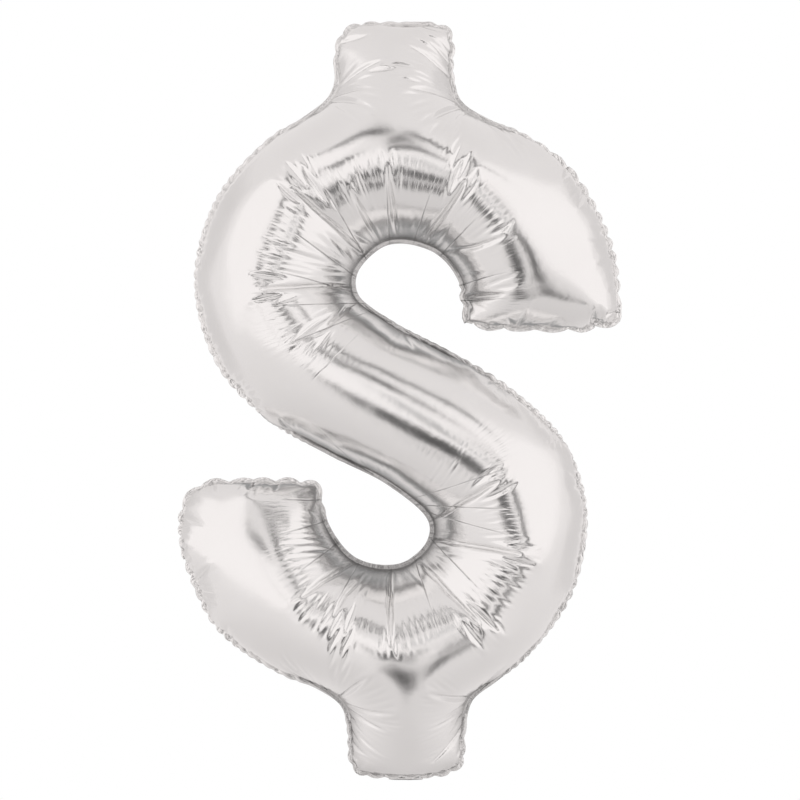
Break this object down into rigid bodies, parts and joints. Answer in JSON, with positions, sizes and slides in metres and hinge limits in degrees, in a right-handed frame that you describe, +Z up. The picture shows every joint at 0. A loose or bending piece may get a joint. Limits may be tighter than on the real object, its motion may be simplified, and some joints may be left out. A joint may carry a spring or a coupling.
{
  "type": "foil balloon",
  "caption": "Blown-up foil balloon shaped like a dollar sign: front and back sheets welded along a flat margin, with a filling neck and valve sleeve folded up behind.",
  "frame": {"origin": "centre of the balloon, where the air holds it: midway up, across and front to back, on the plane of the weld", "axes": "+Z up, +X to the right as seen from the front, and the front faces -Y"},
  "size_m": [0.5926, 0.2012, 1.0178],
  "materials": {
    "foil": "glossy metallised film",
    "valve_film": "clear film"
  },
  "bodies": {
    "envelope": {"front_sheet": "foil", "back_sheet": "foil"},
    "neck": {"neck_outer_ply": "foil", "neck_inner_ply": "foil", "valve_sleeve": "valve_film"}
  },
  "joints": [
    {"name": "neck_fold", "type": "hinge", "parent": "envelope", "child": "neck", "pos_m": [0.008, 0, -0.50911], "axis": [-1, 0, 0], "range_deg": [0, 135]}
  ]
}
